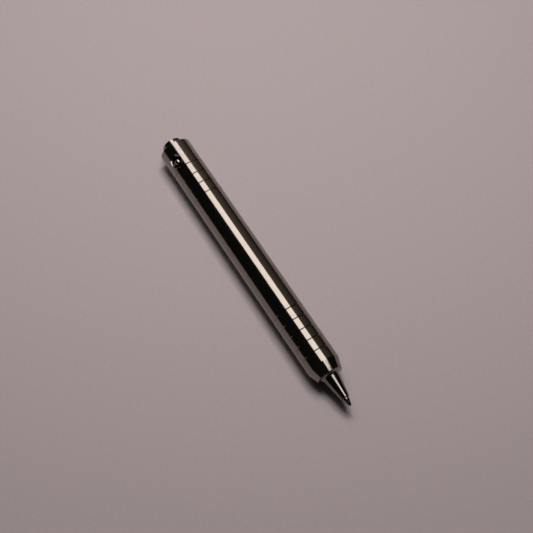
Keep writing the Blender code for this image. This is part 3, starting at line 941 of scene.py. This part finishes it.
@dataclass
class Nose:
    """The nose cone. Sizes are in millimetres and stations count from the tail.

    Args:
        axis: the pen's axis.
        base: station of the flange's front face.
        base_radius: radius to which the cone would run at the base.
        end: station of the cone's front end.
        end_radius: radius of the cone's front end.
        end_round: rounding of the front end's outer edge.
        hole: radius of the hole for the point.
        hole_round: rounding of the hole's edge.
        fillet: radius of the hollow rounding between cone and flange.
        fillet_steps: steps along that rounding.
        flange_radius: radius of the flange.
        flange_length: length of the flange's seat in the barrel.
        flange_gap: room behind the flange.
        shank_radius: radius of the shank.
        shank_start: station of the shank's rear end.
        groove_station: station of the ring's groove.
        groove_half: half the groove's width.
        groove_floor: radius of the groove's floor.
        pocket_radius: radius of the spring's pocket.
        pocket_end: station of the pocket's end.
        sharp: the angle in degrees above which an edge stays sharp.
        sides: steps round the axis.
    """

    axis: Axis
    base: float = 111.92
    base_radius: float = 3.285
    end: float = 121.67
    end_radius: float = 1.59
    end_round: float = 0.25
    hole: float = 1.22
    hole_round: float = 0.08
    fillet: float = 1.4
    fillet_steps: int = 12
    flange_radius: float = 4.57
    flange_length: float = 0.5
    flange_gap: float = 0.1
    shank_radius: float = 2.75
    shank_start: float = 104.2
    groove_station: float = 110.12
    groove_half: float = 0.32
    groove_floor: float = 2.3
    pocket_radius: float = 1.95
    pocket_end: float = 115.0
    sharp: float = 40.0
    sides: int = 128

    def _fillet(self) -> list[Corner]:
        """Find the hollow rounding between the cone and its flange.

        Returns:
            Points of the rounding, cone side first.
        """
        lean = math.atan2(self.base_radius - self.end_radius, self.end - self.base)
        middle_station = self.base + self.fillet
        middle_radius = self.base_radius - self.fillet * math.tan(lean) + self.fillet / math.cos(lean)
        points = []
        for step in range(self.fillet_steps + 1):
            angle = lean + (math.pi / 2.0 - lean) * step / self.fillet_steps
            station = middle_station - self.fillet * math.sin(angle)
            points.append(Corner(station, middle_radius - self.fillet * math.cos(angle)))
        return points

    def corners(self) -> list[Corner]:
        """List the corners of the outline.

        Returns:
            The corners, from the hole's edge round to the pocket's end.
        """
        back = self.base - self.flange_length + self.flange_gap
        groove_front = self.groove_station + self.groove_half
        groove_back = self.groove_station - self.groove_half
        return [
            Corner(self.end, self.hole, self.hole_round),
            Corner(self.end, self.end_radius, self.end_round),
            *self._fillet(),
            Corner(self.base, self.flange_radius, EDGE_ROUND),
            Corner(back, self.flange_radius),
            Corner(back, self.shank_radius),
            Corner(groove_front, self.shank_radius),
            Corner(groove_front, self.groove_floor),
            Corner(groove_back, self.groove_floor),
            Corner(groove_back, self.shank_radius),
            Corner(self.shank_start, self.shank_radius),
            Corner(self.shank_start, self.pocket_radius),
            Corner(self.pocket_end, self.pocket_radius),
            Corner(self.pocket_end, self.hole),
        ]

    def build(self, groups: Groups) -> None:
        """Make the cone and dress it.

        Args:
            groups: the shared node groups.
        """
        outline = rounded(self.corners(), Loop.RING)
        piece = turned("nose_cone_body", outline, Loop.RING, self.axis.matrix(), self.sides)
        piece.data.set_sharp_from_angle(angle=math.radians(self.sharp))
        seat(piece, "body", "nose_cone", Steel.NOSE.value.material(groups))


@dataclass
class WritingPoint:
    """The refill's point and ball. Sizes are in millimetres and stations count from the tail.

    Args:
        axis: the pen's axis.
        tip: station of the ball's foremost point.
        shank_radius: radius of the point's straight part.
        shank_start: station of its rear shoulder.
        shank_round: rounding of its rear edges.
        cone_start: station where the point starts to narrow.
        cone_round: rounding where it starts to narrow.
        socket_start: station of the end that sits in the refill.
        socket_radius: radius of that end.
        lip_radius: outer radius of the lip round the ball.
        ball_radius: radius of the ball.
        ball_proud: how far the ball stands out of the lip.
        fit: room between the ball and its cup.
        feed: radius of the ink's channel.
        support: distance of the extra point beside each rounding.
        cup_steps: steps along the cup.
        ball_steps: steps along the ball.
        ball_sides: steps round the ball.
        sharp: the angle in degrees above which an edge stays sharp.
        sides: steps round the point.
    """

    axis: Axis
    tip: float = 124.9
    shank_radius: float = 1.15
    shank_start: float = 117.03
    shank_round: float = 0.05
    cone_start: float = 122.4
    cone_round: float = 0.20
    socket_start: float = 113.0
    socket_radius: float = 0.77
    lip_radius: float = 0.42
    ball_radius: float = 0.36
    ball_proud: float = 0.20
    fit: float = 0.03
    feed: float = 0.20
    support: float = 0.01
    cup_steps: int = 12
    ball_steps: int = 24
    ball_sides: int = 48
    sharp: float = 40.0
    sides: int = 64

    def _point(self, centre: float) -> bpy.types.Object:
        """Turn the point with the cup for its ball.

        Args:
            centre: station of the ball's centre.

        Returns:
            The point.
        """
        lip = self.tip - self.ball_proud
        cup = self.ball_radius + self.fit
        mouth = math.sqrt(cup ** 2 - (lip - centre) ** 2)
        corners = [
            Corner(lip, mouth),
            Corner(lip, self.lip_radius, ROOT_ROUND),
            Corner(self.cone_start, self.shank_radius, self.cone_round),
            Corner(self.shank_start, self.shank_radius, self.shank_round),
            Corner(self.shank_start, self.socket_radius),
            Corner(self.socket_start, self.socket_radius, self.shank_round),
            Corner(self.socket_start, self.feed),
        ]
        outline = rounded(corners, Loop.SOLID, support=self.support)
        first = math.asin(self.feed / cup)
        last = math.pi - math.asin(mouth / cup)
        for step in range(self.cup_steps):
            angle = first + (last - first) * step / self.cup_steps
            outline.append((centre - cup * math.cos(angle), cup * math.sin(angle)))
        piece = turned("refill_point", outline, Loop.RING, self.axis.matrix(), self.sides)
        piece.data.set_sharp_from_angle(angle=math.radians(self.sharp))
        return piece

    def _ball(self, centre: float) -> bpy.types.Object:
        """Turn the ball.

        Args:
            centre: station of the ball's centre.

        Returns:
            The ball.
        """
        arc = []
        for step in range(self.ball_steps + 1):
            angle = math.pi * step / self.ball_steps
            height = 0.0 if step in (0, self.ball_steps) else self.ball_radius * math.sin(angle)
            arc.append((centre + self.ball_radius * math.cos(angle), height))
        return turned("point_ball", arc, Loop.SOLID, self.axis.matrix(), self.ball_sides)

    def build(self, groups: Groups) -> None:
        """Make the point and the ball and dress them.

        Args:
            groups: the shared node groups.
        """
        centre = self.tip - self.ball_radius
        point = self._point(centre)
        seat(point, "refill", "refill_tip", Steel.POINT.value.material(groups))
        ball = self._ball(centre)
        seat(ball, "ball", "writing_ball", Steel.BALL.value.material(groups))


@dataclass
class InsidePieces:
    """The pieces inside, which keep their solids and get their finishes.

    Args:
        looks: the finish of each node.
        sharp: the angle in degrees above which an edge stays sharp.
    """

    looks: dict[str, Inner]
    sharp: float = 35.0

    def build(self, groups: Groups) -> None:
        """Dress each inner piece.

        Args:
            groups: the shared node groups.
        """
        made = {kind: kind.value.material(groups) for kind in Inner}
        for node, kind in self.looks.items():
            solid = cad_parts[node]
            solid.data.materials.clear()
            solid.data.materials.append(made[kind])
            solid.data.shade_smooth()
            solid.data.set_sharp_from_angle(angle=math.radians(self.sharp))
            LOG.info("%s keeps its solid with %s", node, made[kind].name)


@dataclass(frozen=True)
class Panel:
    """One level panel of soft light above the pen, in metres.

    Args:
        name: the lamp's name.
        along: centre along the pen.
        across: centre across the pen.
        length: size along the pen.
        width: size across the pen.
        radiance: brightness of its face.
        mirrored: whether polished metal shows it. A panel that isn't shown lights the paper instead.
        height: height above the paper.
        turn: turn about the upright in degrees.
        colour: colour of its light, linear.
    """

    name: str
    along: float
    across: float
    length: float
    width: float
    radiance: float
    mirrored: bool
    height: float = 0.45
    turn: float = 3.5
    colour: Triple = (1.0, 0.92, 0.88)

    def hang(self) -> None:
        """Add the lamp to the scene."""
        data = bpy.data.lights.new(self.name, "AREA")
        data.shape = "RECTANGLE"
        data.size = self.length
        data.size_y = self.width
        data.energy = self.radiance * math.pi * self.length * self.width
        data.color = self.colour
        lamp = bpy.data.objects.new(self.name, data)
        lamp.location = (self.along, self.across, self.height)
        lamp.rotation_euler = (0.0, 0.0, math.radians(self.turn))
        lamp.visible_glossy = self.mirrored
        lamp.visible_diffuse = not self.mirrored
        bpy.context.scene.collection.objects.link(lamp)
        LOG.info("%s hung", self.name)


@dataclass(frozen=True)
class RoomSide:
    """A side of the room that is brighter than the rest.

    Each span gives the part of a direction along one axis where the side starts and where it is full.

    Args:
        x: span along X.
        y: span along Y.
        z: span along Z.
        colour: the side's colour, linear.
        mirrored_only: whether only reflections show it.
    """

    x: Span
    y: Span
    z: Span
    colour: Triple
    mirrored_only: bool

    def level(self, tree: Tree, split: Node) -> Socket:
        """Find how far a direction lies in this side.

        Args:
            tree: the world's node tree.
            split: the node that parts the direction into X, Y and Z.

        Returns:
            0 outside this side and 1 well inside it.
        """
        first = ramp(tree, split.outputs["X"], *self.x)
        second = ramp(tree, split.outputs["Y"], *self.y)
        third = ramp(tree, split.outputs["Z"], *self.z)
        return reckon(tree, "MULTIPLY", reckon(tree, "MULTIPLY", first, second), third)


@dataclass
class Studio:
    """Paper floor, soft light, surroundings and camera, in metres.

    Args:
        camera_place: where the camera stands.
        camera_target: the point that it looks at.
        focal_pixels: focal length in pixels of the photograph's frame.
        sensor: width of the camera's sensor in millimetres.
        clip: nearest and farthest distance that the camera sees.
        panels: the lamps.
        room_dark: colour of the dark room, linear.
        room_sides: the brighter sides of the room.
        backdrop: pale colour that the camera sees far off, linear.
        paper_dark: darker colour of the paper's fibres, linear.
        paper_light: lighter colour of the paper's fibres, linear.
        paper_roughness: roughness of the paper.
        paper_gloss: specular level of the paper.
        fibre_scale: fibres to the metre.
        fibre_octaves: octaves of finer fibres.
        paper_middle: the place under the lamps from which the floor's reach is measured.
        paper_near: distance where the floor starts to turn into the backdrop.
        paper_far: distance where it is all backdrop.
        floor_half: half the floor's side.
        floor_cells: cells along each side of the floor.
        floor_drop: how far the floor lies below the pen.
    """

    camera_place: Triple = (0.1565, -0.0923, 0.3728)
    camera_target: Triple = (-0.00112, 0.00511, 0.0)
    focal_pixels: float = 1117.0
    sensor: float = 36.0
    clip: Span = (0.01, 20.0)
    panels: tuple[Panel, ...] = (
        Panel("window_rear", -0.4255, 0.0459, 0.249, 0.2536, radiance=2.9, mirrored=True),
        Panel("window_middle", -0.1405, 0.0804, 0.321, 0.2876, radiance=2.9, mirrored=True),
        Panel("window_front", 0.117, 0.1224, 0.194, 0.235, radiance=2.9, mirrored=True),
        Panel("soft_key", -0.095, 0.091, 0.166, 0.209, radiance=15.2, mirrored=False),
        Panel("soft_fill", -0.301, 0.026, 0.40, 0.288, radiance=2.41, mirrored=False),
    )
    room_dark: Triple = (0.010, 0.010, 0.010)
    room_sides: tuple[RoomSide, ...] = (
        RoomSide((-0.1, -0.6), (0.0, 0.3), (0.0, 0.8), (0.275, 0.223, 0.172), mirrored_only=False),
        RoomSide((0.35, 0.8), (0.25, 0.45), (0.45, 0.6), (0.50, 0.47, 0.45), mirrored_only=True),
    )
    backdrop: Triple = (0.36, 0.303, 0.305)
    paper_dark: Triple = (0.40, 0.355, 0.375)
    paper_light: Triple = (0.47, 0.418, 0.442)
    paper_roughness: float = 0.9
    paper_gloss: float = 0.15
    fibre_scale: float = 900.0
    fibre_octaves: float = 5.0
    paper_middle: Triple = (-0.06, 0.03, 0.0)
    paper_near: float = 0.195
    paper_far: float = 0.29
    floor_half: float = 12.0
    floor_cells: int = 4
    floor_drop: float = 0.00002

    def _paper(self) -> bpy.types.Material:
        """Make matte paper that the camera sees turn into the pale backdrop far from the lamps.

        Returns:
            The paper's material.
        """
        look = bpy.data.materials.new("matte_paper")
        look.use_nodes = True
        tree = look.node_tree
        shader = tree.nodes["Principled BSDF"]
        shader.inputs["Roughness"].default_value = self.paper_roughness
        shader.inputs["Specular IOR Level"].default_value = self.paper_gloss
        place = tree.nodes.new("ShaderNodeTexCoord")
        fibre = tree.nodes.new("ShaderNodeTexNoise")
        fibre.inputs["Scale"].default_value = self.fibre_scale
        fibre.inputs["Detail"].default_value = self.fibre_octaves
        tree.links.new(place.outputs["Object"], fibre.inputs["Vector"])
        colour = tinted(tree, fibre.outputs["Fac"], self.paper_dark, self.paper_light)
        tree.links.new(colour, shader.inputs["Base Color"])
        reach = tree.nodes.new("ShaderNodeVectorMath")
        reach.operation = "DISTANCE"
        reach.inputs[1].default_value = self.paper_middle
        tree.links.new(place.outputs["Object"], reach.inputs[0])
        far = ramp(tree, reach.outputs["Value"], self.paper_near, self.paper_far, ease=Ease.SOFT)
        path = tree.nodes.new("ShaderNodeLightPath")
        seen = reckon(tree, "MULTIPLY", far, path.outputs["Is Camera Ray"])
        pale = tree.nodes.new("ShaderNodeEmission")
        give(tree, pale.inputs["Color"], self.backdrop)
        blend = tree.nodes.new("ShaderNodeMixShader")
        tree.links.new(seen, blend.inputs[0])
        tree.links.new(shader.outputs[0], blend.inputs[1])
        tree.links.new(pale.outputs[0], blend.inputs[2])
        tree.links.new(blend.outputs[0], tree.nodes["Material Output"].inputs["Surface"])
        return look

    def _floor(self) -> None:
        """Lay a wide sheet of paper under the pen."""
        shape = bmesh.new()
        cells = self.floor_cells
        bmesh.ops.create_grid(shape, x_segments=cells, y_segments=cells, size=self.floor_half)
        mesh = bpy.data.meshes.new("paper_floor")
        shape.to_mesh(mesh)
        shape.free()
        mesh.materials.append(self._paper())
        sheet = bpy.data.objects.new("paper_floor", mesh)
        sheet.location = (0.0, 0.0, -self.floor_drop)
        bpy.context.scene.collection.objects.link(sheet)
        LOG.info("paper floor laid")

    def _surroundings(self) -> None:
        """Make a dark room with its brighter sides, which the camera itself sees as the pale backdrop."""
        world = bpy.data.worlds.new("dim_room")
        bpy.context.scene.world = world
        world.use_nodes = True
        tree = world.node_tree
        split = parted(tree, "Generated")
        path = tree.nodes.new("ShaderNodeLightPath")
        room: Socket | Triple = self.room_dark
        for side in self.room_sides:
            level = side.level(tree, split)
            if side.mirrored_only:
                level = reckon(tree, "MULTIPLY", level, path.outputs["Is Glossy Ray"])
            room = tinted(tree, level, room, side.colour)
        room = tinted(tree, path.outputs["Is Camera Ray"], room, self.backdrop)
        back = tree.nodes["Background"]
        back.inputs["Strength"].default_value = 1.0
        tree.links.new(room, back.inputs["Color"])
        LOG.info("surroundings set")

    def _camera(self) -> None:
        """Stand the camera where the photograph was taken."""
        data = bpy.data.cameras.new("photo_camera")
        data.sensor_width = self.sensor
        data.lens = self.sensor * self.focal_pixels / IMAGE_SIDE
        data.clip_start, data.clip_end = self.clip
        camera = bpy.data.objects.new("photo_camera", data)
        sight = Vector(self.camera_target) - Vector(self.camera_place)
        camera.location = self.camera_place
        camera.rotation_euler = sight.to_track_quat("-Z", "Y").to_euler()
        bpy.context.scene.collection.objects.link(camera)
        bpy.context.scene.camera = camera
        LOG.info("camera set with a %.1f mm lens", data.lens)

    def build(self) -> None:
        """Set the whole studio."""
        bpy.context.scene.view_settings.view_transform = "Standard"
        self._floor()
        for panel in self.panels:
            panel.hang()
        self._surroundings()
        self._camera()


def main() -> None:
    """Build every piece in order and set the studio."""
    logging.basicConfig(level=logging.INFO, format="%(message)s")
    axis = Axis.from_frame()
    groups = Groups(axis)
    Barrel(axis).build(groups)
    TailKnob(axis).build(groups)
    Nose(axis).build(groups)
    WritingPoint(axis).build(groups)
    InsidePieces(INNER_LOOKS).build(groups)
    Studio().build()


if __name__ == "__main__":
    main()
